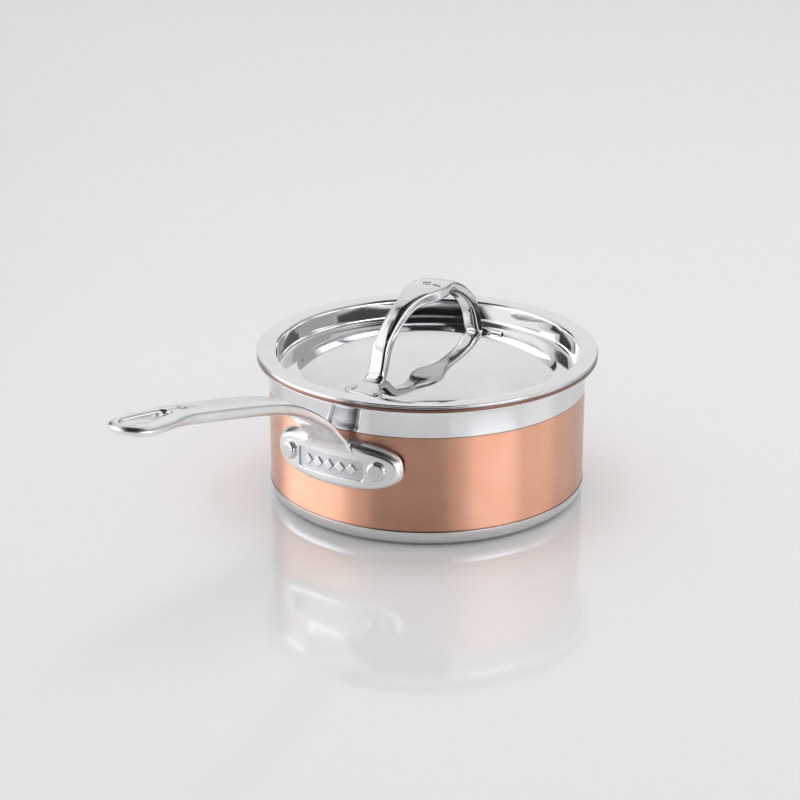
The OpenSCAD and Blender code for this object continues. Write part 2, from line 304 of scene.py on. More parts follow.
STUDIO_LEVEL = 0.7
STUDIO_MIDDLE = Vector((0, 0, 0.05))
FLOOR_HALF = 6
FLOOR_DROP = 0.0002
FLOOR_GREY = 0.86
FLOOR_ROUGHNESS = 0.07
FLOOR_SPECULAR = 0.6
TOP_LIGHT_PLACE = (-150, 84, 1.7)
TOP_LIGHT_SIZE = 1.2
TOP_LIGHT_POWER = 24
SOFT_EDGE = 0.3
FIRM_EDGE = 0.08
WHITE = (1.0, 1.0, 1.0)
COOL_WHITE = (1.0, 1.05, 1.12)

# Cards: name, azimuth, elevation, half width and half height in degrees, distance, colour,
# strength
CARDS = [
    ("backdrop", -148, 31, 28, 34, 2.3, WHITE, 0.87),
    ("key_low", -53, 8, 38, 11, 1.7, COOL_WHITE, 4.6),
    ("key_high", -53, 41, 36, 26, 1.75, WHITE, 1.2),
    ("dark_front", 21, 20, 29, 28, 1.5, WHITE, 0.02),
    ("dark_high", 25, 70, 37, 28, 1.4, WHITE, 0.01),
    ("dark_zenith", -60, 84, 27, 21, 1.35, WHITE, 0.02),
    ("right_low", 81, 11, 26, 10, 1.6, COOL_WHITE, 4.0),
    ("right_mid", 117, 12, 20, 12, 1.65, WHITE, 1.7),
    ("grey_right", 146, 32, 24, 26, 1.75, WHITE, 0.48),
    ("dark_strip", 97, 43, 23, 8, 1.5, WHITE, 0.08),
    ("dark_left", 172, 8, 20, 10, 1.5, WHITE, 0.12),
    ("dark_side", -104, 17, 12, 10, 1.55, WHITE, 0.06),
]

# ---------------------------------------------------------------- turned meshes


def arc(centre, radius, start, end, steps):
    """Points of an arc in the profile plane, angles in degrees."""
    angles = np.radians(np.linspace(start, end, steps + 1))
    return [(centre[0] + radius * math.cos(a), centre[1] + radius * math.sin(a)) for a in angles]


def eased(points):
    """The closed profile with each corner rounded that has a radius: (r, z, radius)."""
    out = []
    count = len(points)
    for i, point in enumerate(points):
        if len(point) == 2:
            out.append(point)
            continue
        here = Vector(point[:2])
        before = Vector(points[i - 1][:2]) - here
        after = Vector(points[(i + 1) % count][:2]) - here
        reach = min(point[2], before.length * EASE_SHARE, after.length * EASE_SHARE)
        start = here + before.normalized() * reach
        end = here + after.normalized() * reach
        out.append(tuple(here + before.normalized() * reach * EASE_GUARD))
        for k in range(EASE_STEPS + 1):
            t = k / EASE_STEPS
            out.append(tuple(start * (1 - t) ** 2 + here * 2 * t * (1 - t) + end * t * t))
        out.append(tuple(here + after.normalized() * reach * EASE_GUARD))
    return out


def lathe(profile, sides):
    """Vertices and faces of a closed profile turned round Z."""
    turn = np.linspace(0, 2 * math.pi, sides, endpoint=False)
    rings = len(profile)
    points = np.empty((rings, sides, 3))
    points[..., 0] = profile[:, :1] * np.cos(turn)
    points[..., 1] = profile[:, :1] * np.sin(turn)
    points[..., 2] = profile[:, 1:]
    index = np.arange(rings * sides).reshape(rings, sides)
    on_axis = profile[:, 0] < TINY
    faces = []
    for i in range(rings):
        j = (i + 1) % rings
        if on_axis[i] and on_axis[j]:
            continue
        a, b = index[i], np.roll(index[i], -1)
        c, d = index[j], np.roll(index[j], -1)
        if on_axis[i]:
            faces += [(int(a[0]), int(q), int(p)) for p, q in zip(c, d)]
        elif on_axis[j]:
            faces += [(int(p), int(q), int(c[0])) for p, q in zip(a, b)]
        else:
            faces += [tuple(int(v) for v in quad) for quad in zip(a, b, d, c)]
    return points.reshape(-1, 3), faces


def drop_loose(mesh):
    """Removes vertices that no face uses."""
    work = bmesh.new()
    work.from_mesh(mesh)
    loose = [v for v in work.verts if not v.link_faces]
    if loose:
        bmesh.ops.delete(work, geom=loose, context="VERTS")
        work.to_mesh(mesh)
    work.free()


def make_piece(name, points, faces, body, material, node, normals=None):
    """A smooth mesh piece that rides on a body and stands for a CAD node."""
    mesh = bpy.data.meshes.new(name)
    mesh.from_pydata((np.asarray(points) * MM).tolist(), [], [list(f) for f in faces])
    mesh.validate()
    mesh.polygons.foreach_set("use_smooth", [True] * len(mesh.polygons))
    if normals is not None:
        mesh.normals_split_custom_set_from_vertices(normals.tolist())
    mesh.update()
    piece = bpy.data.objects.new(name, mesh)
    bpy.context.scene.collection.objects.link(piece)
    mesh.materials.append(material)
    drop_loose(mesh)
    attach(piece, body)
    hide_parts(node)
    return piece


def turned(name, profile, body, material, node, place=None, sides=ROUND_SIDES):
    """A piece turned on a lathe; place moves it from its own axis into the frame."""
    profile = np.array(profile, float)
    points, faces = lathe(profile, sides)
    if place is not None:
        points = points @ np.array(place.to_3x3()).T + np.array(place.translation)
    after = np.roll(profile, -1, 0)
    twice_area = float(np.sum(profile[:, 0] * after[:, 1] - after[:, 0] * profile[:, 1]))
    if twice_area < 0:
        faces = [f[::-1] for f in faces]
    return make_piece(name, points, faces, body, material, node)


# ---------------------------------------------------------------- meshes of signed fields


def grid_edges(samples, axis):
    """Lattice edges along an axis whose ends lie on different sides of the surface."""
    ahead = [slice(None)] * 3
    behind = [slice(None)] * 3
    ahead[axis] = slice(1, None)
    behind[axis] = slice(None, -1)
    inside = samples < 0
    found = np.argwhere(inside[tuple(behind)] != inside[tuple(ahead)])
    step = np.zeros(3, int)
    step[axis] = 1
    first = samples[tuple(found.T)]
    second = samples[tuple((found + step).T)]
    share = np.clip(first / (first - second), EDGE_MARGIN, 1 - EDGE_MARGIN)
    return found, found + share[:, None] * step, first < 0


def sample(field, low, counts, step):
    """Field values on a lattice; blocks far from the surface get only their sign."""
    size = step * BLOCK
    grid = np.stack(np.meshgrid(*[np.arange(n) for n in counts], indexing="ij"), -1)
    middles = low + (grid + 0.5) * size
    value = field(middles.reshape(-1, 3)).reshape(counts)
    samples = np.sign(value).astype(np.float32)
    for axis in range(3):
        samples = np.repeat(samples, BLOCK, axis)
    near = np.argwhere(np.abs(value) < size * BLOCK_REACH)
    blocks = samples.reshape(counts[0], BLOCK, counts[1], BLOCK, counts[2], BLOCK)
    inner = np.stack(np.meshgrid(*[np.arange(BLOCK)] * 3, indexing="ij"), -1)
    for part in np.array_split(near, max(1, len(near) // BLOCKS_AT_ONCE)):
        points = low + step * (part[:, None, None, None, :] * BLOCK + inner)
        found = field(points.reshape(-1, 3)).reshape(len(part), BLOCK, BLOCK, BLOCK)
        blocks[part[:, 0], :, part[:, 1], :, part[:, 2], :] = found
    return samples


def gradient(field, points):
    """The field's slope at each point, by central differences."""
    out = np.empty_like(points)
    for axis in range(3):
        shift = np.zeros(3)
        shift[axis] = GRADIENT_GAP
        out[:, axis] = (field(points + shift) - field(points - shift)) / (2 * GRADIENT_GAP)
    return out


def relaxed(points, quads, share=0.5):
    """Moves each vertex part of the way to the middle of its neighbours."""
    starts = np.concatenate([quads[:, k] for k in range(4)])
    ends = np.concatenate([quads[:, (k + 1) % 4] for k in range(4)])
    a, b = np.concatenate([starts, ends]), np.concatenate([ends, starts])
    number = np.maximum(np.bincount(a, minlength=len(points)), 1)
    middle = [np.bincount(a, points[b, c], minlength=len(points)) / number for c in range(3)]
    return points * (1 - share) + np.stack(middle, 1) * share


def landed(field, points, longest):
    """Moves each vertex along the field's slope towards zero, by no more than longest."""
    slope = gradient(field, points)
    steep = np.maximum(np.sum(slope * slope, 1), LEAST_STEEP)
    move = slope * (field(points) / steep)[:, None]
    length = np.linalg.norm(move, axis=1, keepdims=True)
    return points - move * np.minimum(1, longest / np.maximum(length, TINY))


def surface(field, space, step):
    """Vertices, quads and normals of the surface where the field is zero."""
    low = np.array(space[0], float)
    counts = np.ceil((np.array(space[1]) - low) / (step * BLOCK)).astype(int)
    samples = sample(field, low, counts, step)
    shape = np.array(samples.shape)
    scale = np.array([shape[1] * shape[2], shape[2], 1])
    cells, corners, quads = [], [], []
    for axis in range(3):
        found, crossing, from_inside = grid_edges(samples, axis)
        u, v = np.eye(3, dtype=int)[(axis + 1) % 3], np.eye(3, dtype=int)[(axis + 2) % 3]
        around = np.stack([found, found - u, found - u - v, found - v], 1) @ scale
        around[~from_inside] = around[~from_inside][:, ::-1]
        quads.append(around)
        for k in range(4):
            cells.append(around[:, k])
            corners.append(crossing)
    names, where = np.unique(np.concatenate(cells), return_inverse=True)
    corners = np.concatenate(corners)
    share = np.bincount(where)
    points = np.stack([np.bincount(where, corners[:, c]) / share for c in range(3)], 1)
    points = low + points * step
    quads = np.searchsorted(names, np.concatenate(quads))
    for _ in range(SETTLE_PASSES):
        points = relaxed(points, quads)
        for _ in range(LANDING_PASSES):
            points = landed(field, points, LONGEST_MOVE * step)
    slope = gradient(field, points)
    return points, quads, slope / np.linalg.norm(slope, axis=1, keepdims=True)


# ---------------------------------------------------------------- curves and plain fields


def natural_spline(xs, ys):
    """A smooth curve through stations; past either end it keeps that end's height and rate."""
    count = len(xs)
    gap = np.diff(xs)
    system, target = np.eye(count), np.zeros(count)
    for i in range(1, count - 1):
        system[i, i - 1:i + 2] = gap[i - 1], 2 * (gap[i - 1] + gap[i]), gap[i]
        target[i] = 6 * ((ys[i + 1] - ys[i]) / gap[i] - (ys[i] - ys[i - 1]) / gap[i - 1])
    bend = np.linalg.solve(system, target)

    def at(x):
        """The curve's height and rate at x."""
        x = np.clip(x, xs[0], xs[-1])
        i = np.clip(np.searchsorted(xs, x) - 1, 0, count - 2)
        h = gap[i]
        a, b = (xs[i + 1] - x) / h, (x - xs[i]) / h
        sag = (a**3 - a) * bend[i] + (b**3 - b) * bend[i + 1]
        turn = -(3 * a * a - 1) * bend[i] + (3 * b * b - 1) * bend[i + 1]
        return a * ys[i] + b * ys[i + 1] + sag * h * h / 6, (ys[i + 1] - ys[i]) / h + turn * h / 6

    return at


def blend_union(a, b, k):
    """The union of two fields with a fillet of about k."""
    h = np.maximum(k - np.abs(a - b), 0) / k
    return np.minimum(a, b) - h * h * k * 0.25


def blend_cut(a, b, k):
    """Field a with field b cut away, its edges rounded by about k."""
    return -blend_union(-a, b, k)


def smoothstep(x):
    """Rises smoothly from 0 to 1 as x does."""
    x = np.clip(x, 0, 1)
    return x * x * (3 - 2 * x)


def superellipse(u, v, half_u, half_v, power):
    """About the distance to a superellipse, negative inside."""
    a, b = np.abs(u) / half_u + TINY, np.abs(v) / half_v + TINY
    size = (a**power + b**power) ** (1 / power)
    slope_a = (a / size) ** (power - 1) / half_u
    slope_b = (b / size) ** (power - 1) / half_v
    return (size - 1) / np.hypot(slope_a, slope_b)


def rounded_box(u, v, half_u, half_v, radius):
    """Distance to a rectangle with round corners, negative inside."""
    a, b = np.abs(u) - half_u + radius, np.abs(v) - half_v + radius
    return np.hypot(np.maximum(a, 0), np.maximum(b, 0)) + np.minimum(np.maximum(a, b), 0) - radius


def mark_field(along, across, scale):
    """Distance to a small mark's strokes: a diamond outline between two short bars."""
    u, v = np.abs(along) / scale, np.abs(across) / scale
    outline = np.abs(u + v - MARK_DIAMOND) / math.sqrt(2)
    bars = np.hypot(np.maximum(np.abs(u - MARK_BAR_AT) - MARK_BAR_HALF, 0), v)
    return np.minimum(outline, bars) * scale - MARK_STROKE


def engraved(body, mark):
    """The body with a mark's strokes sunk into its surface."""
    return body + MARK_DEPTH * smoothstep(0.5 - mark / (2 * MARK_STROKE))


# ---------------------------------------------------------------- field of the long handle

STEM_Z = natural_spline(STEM[:, 0], STEM[:, 1])
STEM_W = natural_spline(STEM[:, 0], STEM[:, 2])
STEM_T = natural_spline(STEM[:, 0], STEM[:, 3])


def stem_field(x, y, z):
    """The bar, its top flatter than its belly, and the height above its middle in half
    thicknesses. It ends in a half disc."""
    centre, rate = STEM_Z(x)
    width, _ = STEM_W(x)
    thick, _ = STEM_T(x)
    height = (z - centre) / np.sqrt(1 + rate * rate)
    across = np.hypot(y, np.maximum(x - LOOP_X, 0))
    softer = smoothstep((x - LOOP_SOFTER_FROM) / LOOP_SOFTER_OVER)
    top = superellipse(across, height, width, thick, STEM_TOP_POWER - LOOP_SOFTER * softer)
    belly = superellipse(across, height, width, thick, STEM_BELLY_POWER)
    return np.where(height > 0, top, belly), height / thick


def slot_field(x, y, z):
    """The hanging slot, a tapered capsule seen from above."""
    along = (x - LOOP_X) * math.cos(SLOT_TILT) + (z - LOOP_Z) * math.sin(SLOT_TILT) - SLOT_AHEAD
    share = np.clip(-along / SLOT_BACK, 0, 1)
    return np.hypot(along + share * SLOT_BACK, y) - (SLOT_R + (SLOT_TIP_R - SLOT_R) * share)


def plate_field(side, up, out):
    """The pillow plate: side and up on its face, out from the face."""
    outline = superellipse(side, up, PLATE_HALF_W, PLATE_HALF_H, PLATE_POWER)
    a = np.maximum((outline + PLATE_EDGE_IN) / PLATE_EDGE_IN, TINY)
    b = np.maximum((out + PLATE_EDGE_DOWN) / PLATE_EDGE_DOWN, TINY)
    corner = (a**PLATE_EDGE_POWER + b**PLATE_EDGE_POWER) ** (1 / PLATE_EDGE_POWER) - 1
    return corner * (PLATE_EDGE_IN + PLATE_EDGE_DOWN) / 2


def panel_field(side, z):
    """Distance to the outline of the plate's sunk panel."""
    return rounded_box(side, z - PANEL_Z, PANEL_HALF_W, PANEL_HALF_H, PANEL_CORNER_R)


def diamonds_field(side, up):
    """Distance to the nearest of a row of diamonds."""
    middle = (DIAMONDS - 1) / 2
    number = np.clip(np.round(side / DIAMOND_PITCH), -middle, middle)
    return (np.abs(side - number * DIAMOND_PITCH) + np.abs(up) - DIAMOND_HALF) / math.sqrt(2)


def with_panel(body, side, z, rho):
    """The body with the panel sunk into the plate and the diamonds raised from its floor."""
    recess = np.maximum(panel_field(side, z), PLATE_R - PANEL_DEPTH - rho)
    body = blend_cut(body, recess, PANEL_EDGE)
    relief = np.maximum(diamonds_field(side, z - PANEL_Z), rho - PLATE_R + DIAMOND_TOP)
    return blend_union(body, np.maximum(relief, PLATE_R - DIAMOND_ROOT - rho), DIAMOND_FILLET)


def with_rivet_holes(body, x, y, up):
    """The body with a hole for each rivet."""
    for end in (-1, 1):
        turn = end * RIVET_ANGLE
        level = -x * math.sin(turn) + y * math.cos(turn)
        body = np.maximum(body, RIVET_R - np.hypot(level, up))
    return body


def handle_marks(x, y, z, height):
    """Distance to the marks on the neck and on the bar's top by the loop."""
    on_neck = mark_field(z - NECK_MARK_Z, y - NECK_MARK_Y, NECK_MARK_SCALE)
    on_neck = np.maximum(on_neck, np.maximum(NECK_MARK_BOTTOM - z, x - NECK_MARK_END_X))
    on_loop = mark_field(x - LOOP_MARK_X, y, LOOP_MARK_SCALE)
    return np.minimum(on_neck, np.maximum(on_loop, height * -LOOP_MARK_TOP_ONLY))


def handle_field(points):
    """The whole long handle."""
    x, y, z = points[:, 0], points[:, 1], points[:, 2]
    rho = np.hypot(x, y)
    side, up = np.arctan2(y, x) * PLATE_R, z - PLATE_Z
    plate = plate_field(side, up, rho - PLATE_R)
    stem, height = stem_field(x, y, z)
    below = smoothstep(WEB_BELOW - height)
    fillet = NECK_FILLET + WEB_FILLET * below * smoothstep((up - WEB_ABOVE) / WEB_RISE)
    body = blend_union(plate, stem, fillet)
    body = blend_cut(body, slot_field(x, y, z), SLOT_EDGE)
    body = with_panel(body, side, z, rho)
    body = np.maximum(body, COPPER_R - rho)
    body = with_rivet_holes(body, x, y, up)
    return engraved(body, handle_marks(x, y, z, height))


# ---------------------------------------------------------------- field of the lid handle


def mirrored(angles, values):
    """A curve over both legs' angles, the same on each side of the crest."""
    both_angles = np.concatenate([-angles[:0:-1], angles])
    return natural_spline(both_angles, np.concatenate([values[:0:-1], values]))


ARCH_ANGLE = np.degrees(np.arctan2(ARCH[:, 0], ARCH[:, 1] - ARCH_Z))
ARCH_DIST = mirrored(ARCH_ANGLE, np.hypot(ARCH[:, 0], ARCH[:, 1] - ARCH_Z))
ARCH_W = mirrored(ARCH_ANGLE, ARCH[:, 2])
ARCH_T = mirrored(ARCH_ANGLE, ARCH[:, 3])


def arch_field(x, y, z):
    """The arch, and the height above its middle: a strap that widens into a drooping saddle."""
    across, up = np.abs(x), z - ARCH_Z
    angle = np.degrees(np.arctan2(across, up))
    distance = np.hypot(across, up)
    middle, rate = ARCH_DIST(angle)
    lean = rate * 180 / math.pi / np.maximum(distance, 1)
    width, _ = ARCH_W(angle)
    thick, _ = ARCH_T(angle)
    height = (distance - middle) / np.sqrt(1 + lean * lean)
    droop = SADDLE_DROOP * np.maximum(width - STRAP_HALF_W, 0)
    share = y / width
    saddle = smoothstep((width - STRAP_HALF_W - SADDLE_FROM) / SADDLE_OVER)
    power = STRAP_POWER + SADDLE_SQUARER * saddle
    bar = superellipse(y, height + droop * share * share, width, thick, power)
    return np.maximum(bar, ARCH_BOTTOM - z), height


def above_dome(x, y, z):
    """Distance above the top of the lid's dome."""
    return np.sqrt(x * x + y * y + (z - DOME_CENTRE) ** 2) - DOME_R


def foot_field(x, y, out):
    """One flared foot on each side: a layer on the dome inside the feet's outline."""
    along = np.abs(x)
    half = np.interp(along, FOOT_OUTLINE[:, 0], FOOT_OUTLINE[:, 1])
    plan = np.maximum(np.abs(y) - half, np.maximum(FOOT_FROM - along, along - FOOT_TO))
    layer = np.maximum(out - FOOT_T - FOOT_EXTRA, -out - FOOT_EXTRA)
    return blend_cut(layer, -plan * FOOT_EDGE_SLOPE, FOOT_EDGE)


def lid_handle_field(points):
    """The whole lid handle."""
    x, y, z = points[:, 0], points[:, 1], points[:, 2]
    arch, height = arch_field(x, y, z)
    out = above_dome(x, y, z)
    fillet = FOOT_FILLET + FOOT_FILLET_MORE * smoothstep(height / FOOT_FILLET_OVER)
    body = blend_union(arch, foot_field(x, y, out), fillet)
    on_crest = np.maximum(mark_field(y, x, CREST_MARK_SCALE), CREST_MARK_BOTTOM - z)
    return np.maximum(engraved(body, on_crest), -out)


# ---------------------------------------------------------------- materials


def link(tree, source, output, target, socket):
    """Joins a node's output to another node's input."""
    tree.links.new(source.outputs[output], target.inputs[socket])


def new_material(name):
    """A material, its node tree and its shader."""
    material = bpy.data.materials.new(name)
    material.use_nodes = True
    tree = material.node_tree
    return material, tree, tree.nodes["Principled BSDF"]


def split_coordinates(tree, kind):
    """A coordinates node, and one that takes X, Y and Z of one of its outputs apart."""
    place = tree.nodes.new("ShaderNodeTexCoord")
    split = tree.nodes.new("ShaderNodeSeparateXYZ")
    link(tree, place, kind, split, "Vector")
    return place, split


def ring_coordinates(tree, split):
    """Coordinates that are the same all round the axis: distance from it, and height."""
    flat = tree.nodes.new("ShaderNodeCombineXYZ")
    link(tree, split, "X", flat, "X")
    link(tree, split, "Y", flat, "Y")
    length = tree.nodes.new("ShaderNodeVectorMath")
    length.operation = "LENGTH"
    link(tree, flat, "Vector", length, 0)
    rings = tree.nodes.new("ShaderNodeCombineXYZ")
    link(tree, length, "Value", rings, "X")
    link(tree, split, "Z", rings, "Y")
    return rings


def noise(tree, source, output, scale, detail, stretch=(1, 1, 1)):
    """Noise over some coordinates."""
    mapping = tree.nodes.new("ShaderNodeMapping")
    mapping.inputs["Scale"].default_value = stretch
    link(tree, source, output, mapping, "Vector")
    texture = tree.nodes.new("ShaderNodeTexNoise")
    texture.inputs["Scale"].default_value = scale
    texture.inputs["Detail"].default_value = detail
    link(tree, mapping, "Vector", texture, "Vector")
    return texture


def vary_roughness(tree, texture, low, high, shader):
    """Takes the roughness from low to high by a texture's grey."""
    ranged = tree.nodes.new("ShaderNodeMapRange")
    ranged.inputs["From Min"].default_value = SMUDGE_RANGE[0]
    ranged.inputs["From Max"].default_value = SMUDGE_RANGE[1]
    ranged.inputs["To Min"].default_value = low
    ranged.inputs["To Max"].default_value = high
    link(tree, texture, "Fac", ranged, "Value")
    link(tree, ranged, "Result", shader, "Roughness")


def vary_colour(tree, texture, dark, light, shader):
    """Takes the colour from dark to light by a texture's grey."""
    ramp = tree.nodes.new("ShaderNodeValToRGB")
    stops = ramp.color_ramp.elements
    stops[0].position = CLOUD_RANGE[0]
    stops[0].color = (*dark, 1)
    stops[1].position = CLOUD_RANGE[1]
    stops[1].color = (*light, 1)
    link(tree, texture, "Fac", ramp, "Fac")
    link(tree, ramp, "Color", shader, "Base Color")


def add_grain(tree, lines, height, shader):
    """Fine grooves, height in millimetres."""
    bump = tree.nodes.new("ShaderNodeBump")
    bump.inputs["Strength"].default_value = 1.0
    bump.inputs["Distance"].default_value = height * MM
    link(tree, lines, "Fac", bump, "Height")
    link(tree, bump, "Normal", shader, "Normal")


def metal(name, dark, light, rough, grain, turned_grain=False):
    """Metal with a colour and a roughness that vary a little, and grain in straight lines or,
    on a turned piece, in rings."""
    material, tree, shader = new_material(name)
    shader.inputs["Metallic"].default_value = 1.0
    place, split = split_coordinates(tree, "Object")
    cloud = noise(tree, place, "Object", CLOUD_SCALE, CLOUD_DETAIL)
    vary_colour(tree, cloud, dark, light, shader)
    smudge = noise(tree, place, "Object", SMUDGE_SCALE, SMUDGE_DETAIL)
    vary_roughness(tree, smudge, *rough, shader)
    if turned_grain:
        rings = ring_coordinates(tree, split)
        lines = noise(tree, rings, "Vector", TURNED_GRAIN_SCALE, GRAIN_DETAIL)
    else:
        lines = noise(tree, place, "Object", STRAIGHT_GRAIN_SCALE, GRAIN_DETAIL,
                      STRAIGHT_GRAIN_STRETCH)
    add_grain(tree, lines, grain, shader)
    return material


def grey(level, blue=0.005):
    """A metal's grey with slightly more blue."""
    return (level, level, level + blue)


def brush_round(material):
    """Stretches highlights up and down, as fine brushing round the pan does."""
    tree = material.node_tree
    shader = tree.nodes["Principled BSDF"]
    shader.inputs["Anisotropic"].default_value = 1.0
    shader.inputs["Anisotropic Rotation"].default_value = BRUSH_TURN
    tangent = tree.nodes.new("ShaderNodeTangent")
    tangent.direction_type = "RADIAL"
    tangent.axis = "Z"
    link(tree, tangent, "Tangent", shader, "Tangent")


def paint_edge_shade(material):
    """Paints shade into the copper beside the steel base and rim band, where their steps shade it,
    and on the cut edge of the lip, in the shade under the lid.
    """
    tree = material.node_tree
    shader = tree.nodes["Principled BSDF"]
    colour = shader.inputs["Base Color"].links[0].from_socket
    _, split = split_coordinates(tree, "Object")
    height = tree.nodes.new("ShaderNodeMapRange")
    height.inputs["From Max"].default_value = PAN_H * MM
    link(tree, split, "Z", height, "Value")
    ramp = tree.nodes.new("ShaderNodeValToRGB")
    stops = ramp.color_ramp.elements
    stops[0].color = (*STEP_SHADE, 1)
    stops.remove(stops[-1])
    # painted shade: the copper's colour is darkened at the steel steps and on the lip's cut edge
    levels = [(COPPER_FROM + STEP_SHADE_FROM, STEP_SHADE), (COPPER_FROM + STEP_SHADE_TO, UNSHADED)]
    levels += [(COPPER_TO - STEP_SHADE_TO, UNSHADED), (COPPER_TO - STEP_SHADE_FROM, STEP_SHADE)]
    levels += [(COPPER_TO + CUT_EDGE_SHADE_ABOVE, CUT_EDGE_SHADE)]
    for level, shade in levels:
        stops.new(level / PAN_H).color = (*shade, 1)
    link(tree, height, "Result", ramp, "Fac")
    mix = tree.nodes.new("ShaderNodeMix")
    mix.data_type = "RGBA"
    mix.blend_type = "MULTIPLY"
    mix.inputs["Factor"].default_value = 1.0
    tree.links.new(colour, mix.inputs["A"])
    link(tree, ramp, "Color", mix, "B")
    link(tree, mix, "Result", shader, "Base Color")


def lacquer(material):
    """A soft clear coat."""
    shader = material.node_tree.nodes["Principled BSDF"]
    shader.inputs["Coat Weight"].default_value = 1.0
    shader.inputs["Coat Roughness"].default_value = COAT_ROUGHNESS
    shader.inputs["Coat IOR"].default_value = COAT_IOR


polished = metal("polished_steel", grey(0.78, 0.01), grey(0.84), (0.04, 0.075), 0.0006, True)
base_metal = metal("base_steel", grey(0.74), grey(0.80), (0.15, 0.2), 0.001, True)
lid_metal = metal("lid_steel", grey(0.78), grey(0.83), (0.045, 0.08), 0.0005, True)
cast = metal("cast_steel", grey(0.82), grey(0.88), (0.20, 0.26), 0.0015)
sunk = metal("sunk_panel_steel", grey(0.58), grey(0.70), (0.32, 0.42), 0.004)
cast_lid = metal("cast_steel_lid_handle", grey(0.76), grey(0.82), (0.08, 0.12), 0.0008)
rivet_metal = metal("rivet_steel", grey(0.72), grey(0.78), (0.14, 0.2), 0.0008)
copper = metal("copper", (0.95, 0.455, 0.285), (0.975, 0.495, 0.325), (0.38, 0.42), 0.0008, True)
brush_round(copper)
# paints shade into the copper at the steel steps and on the lip's cut edge
paint_edge_shade(copper)
lacquer(copper)
core_metal = metal("aluminium", grey(0.60, 0.01), grey(0.68, 0.01), (0.3, 0.4), 0.002, True)
liner_metal = metal("liner_steel", grey(0.74), grey(0.80), (0.14, 0.2), 0.0015, True)


# ---------------------------------------------------------------- pan


def floor_face(depth):
    """The base and its corner, at a depth inside the pan's outside face."""
    corner = arc((PAN_R - CORNER_R, CORNER_R), CORNER_R - depth, -90, 0, CORNER_STEPS)
    return [(0.0, depth)] + corner


def lip_face(depth, edge):
    """The flare at the top of the wall and the lip out to its edge."""
    bend = arc((PAN_R + FLARE_R, FLARE_Z), FLARE_R + depth, 180, 90, FLARE_STEPS)
    return bend + [(edge, LIP_Z + depth)]


def full_face(depth, edge):
    """A whole face of the pan, from the middle of the base to the edge of the lip."""
    return floor_face(depth) + lip_face(depth, edge)


def shut(outer, inner):
    """A closed profile between two faces."""
    return outer + inner[::-1]


def add_liner():
    """The steel cooking surface."""
    profile = shut(full_face(LINER_AT, LIP_R), full_face(WALL_T, LIP_R))
    turned("pan_inner_liner", profile, "pan", liner_metal, "inner_liner")


def add_core():
    """The aluminium core, which stops short of the lip's edge."""
    edge = LIP_R - CORE_STOP
    profile = shut(full_face(2 * PLY, edge), full_face(LINER_AT, edge))
    turned("pan_aluminium_core", profile, "pan", core_metal, "aluminium_core")


def add_copper_wall():
    """The copper, which turns up round the core's edge and shows under the lid."""
    edge = LIP_R - CORE_STOP
    turned_up = [(LIP_R, LIP_Z + LINER_AT), (edge, LIP_Z + LINER_AT)]
    profile = shut(full_face(PLY, LIP_R) + turned_up, full_face(2 * PLY, edge))
    turned("pan_copper_wall", profile, "pan", copper, "copper_wall")


def add_rim_band():
    """The polished steel band over the top of the copper."""
    outer = [(PAN_R - PLY, COPPER_TO), (PAN_R, COPPER_TO, SHEET_EDGE_R)] + lip_face(0, LIP_R)
    profile = eased(shut(outer, lip_face(PLY, LIP_R)))
    turned("pan_rim_band", profile, "pan", polished, "rim_band")


def add_base_shell():
    """The steel shell over the base and its corner."""
    outer = floor_face(0) + [(PAN_R, COPPER_FROM, SHEET_EDGE_R), (PAN_R - PLY, COPPER_FROM)]
    profile = eased(shut(outer, floor_face(PLY)))
    turned("pan_base_shell", profile, "pan", base_metal, "base_shell")


# ---------------------------------------------------------------- lid


def lid_face(depth):
    """Dome, gutter, well wall and the bend into the flange, at a depth under the top face."""
    edge = math.degrees(math.asin(DOME_EDGE / DOME_R))
    gutter_end = WELL_R - WELL_TAPER - GUTTER_CORNER_R
    points = arc((0, DOME_CENTRE), DOME_R - depth, 90, 90 - edge, DOME_STEPS)
    points[0] = (0.0, points[0][1])
    points += [(DOME_EDGE + DOME_TOE - depth / 3, GUTTER_Z - depth, DOME_TOE_R)]
    corner = (gutter_end, GUTTER_Z + GUTTER_CORNER_R)
    points += arc(corner, GUTTER_CORNER_R + depth, -90, 0, BEND_STEPS)
    bend = (WELL_R + WELL_BEND_R, FLANGE_TOP - WELL_BEND_R)
    return points + arc(bend, WELL_BEND_R - depth, 180, 90, BEND_STEPS)


def add_lid_shell():
    """The lid's sheet, with a round edge."""
    rim = arc((LIP_R - LID_T / 2, FLANGE_Z + LID_T / 2), LID_T / 2, 90, -90, BEND_STEPS)
    profile = eased(shut(lid_face(0) + rim, lid_face(LID_T)))
    turned("lid_shell_turned", profile, "lid", lid_metal, "lid_shell")


# ---------------------------------------------------------------- cast handles


def finish_panel(piece, points, quads, material):
    """Gives the floor of the plate's sunk panel its own finish."""
    middle = points[quads].mean(1)
    rho = np.hypot(middle[:, 0], middle[:, 1])
    side = np.arctan2(middle[:, 1], middle[:, 0]) * PLATE_R
    deep = (rho < PLATE_R - PANEL_FINISH_FROM) & (rho > PLATE_R - PANEL_FINISH_TO)
    floor_of_panel = deep & (panel_field(side, middle[:, 2]) < PANEL_FINISH_OUT)
    piece.data.materials.append(material)
    piece.data.polygons.foreach_set("material_index", floor_of_panel.astype(np.int32))
    piece.data.update()


def add_long_handle(coarser):
    """The cast handle with its plate, bar and loop."""
    points, quads, normals = surface(handle_field, HANDLE_SPACE, HANDLE_STEP * coarser)
    piece = make_piece("long_handle_cast", points, quads, "pan", cast, "long_handle",
                       normals)
    finish_panel(piece, points, quads, sunk)


def add_lid_handle(coarser):
    """The cast arch with its two feet."""
    points, quads, normals = surface(lid_handle_field, LID_HANDLE_SPACE, LID_HANDLE_STEP * coarser)
    make_piece("lid_handle_cast", points, quads, "lid", cast_lid, "lid_handle",
               normals)


# ---------------------------------------------------------------- rivets


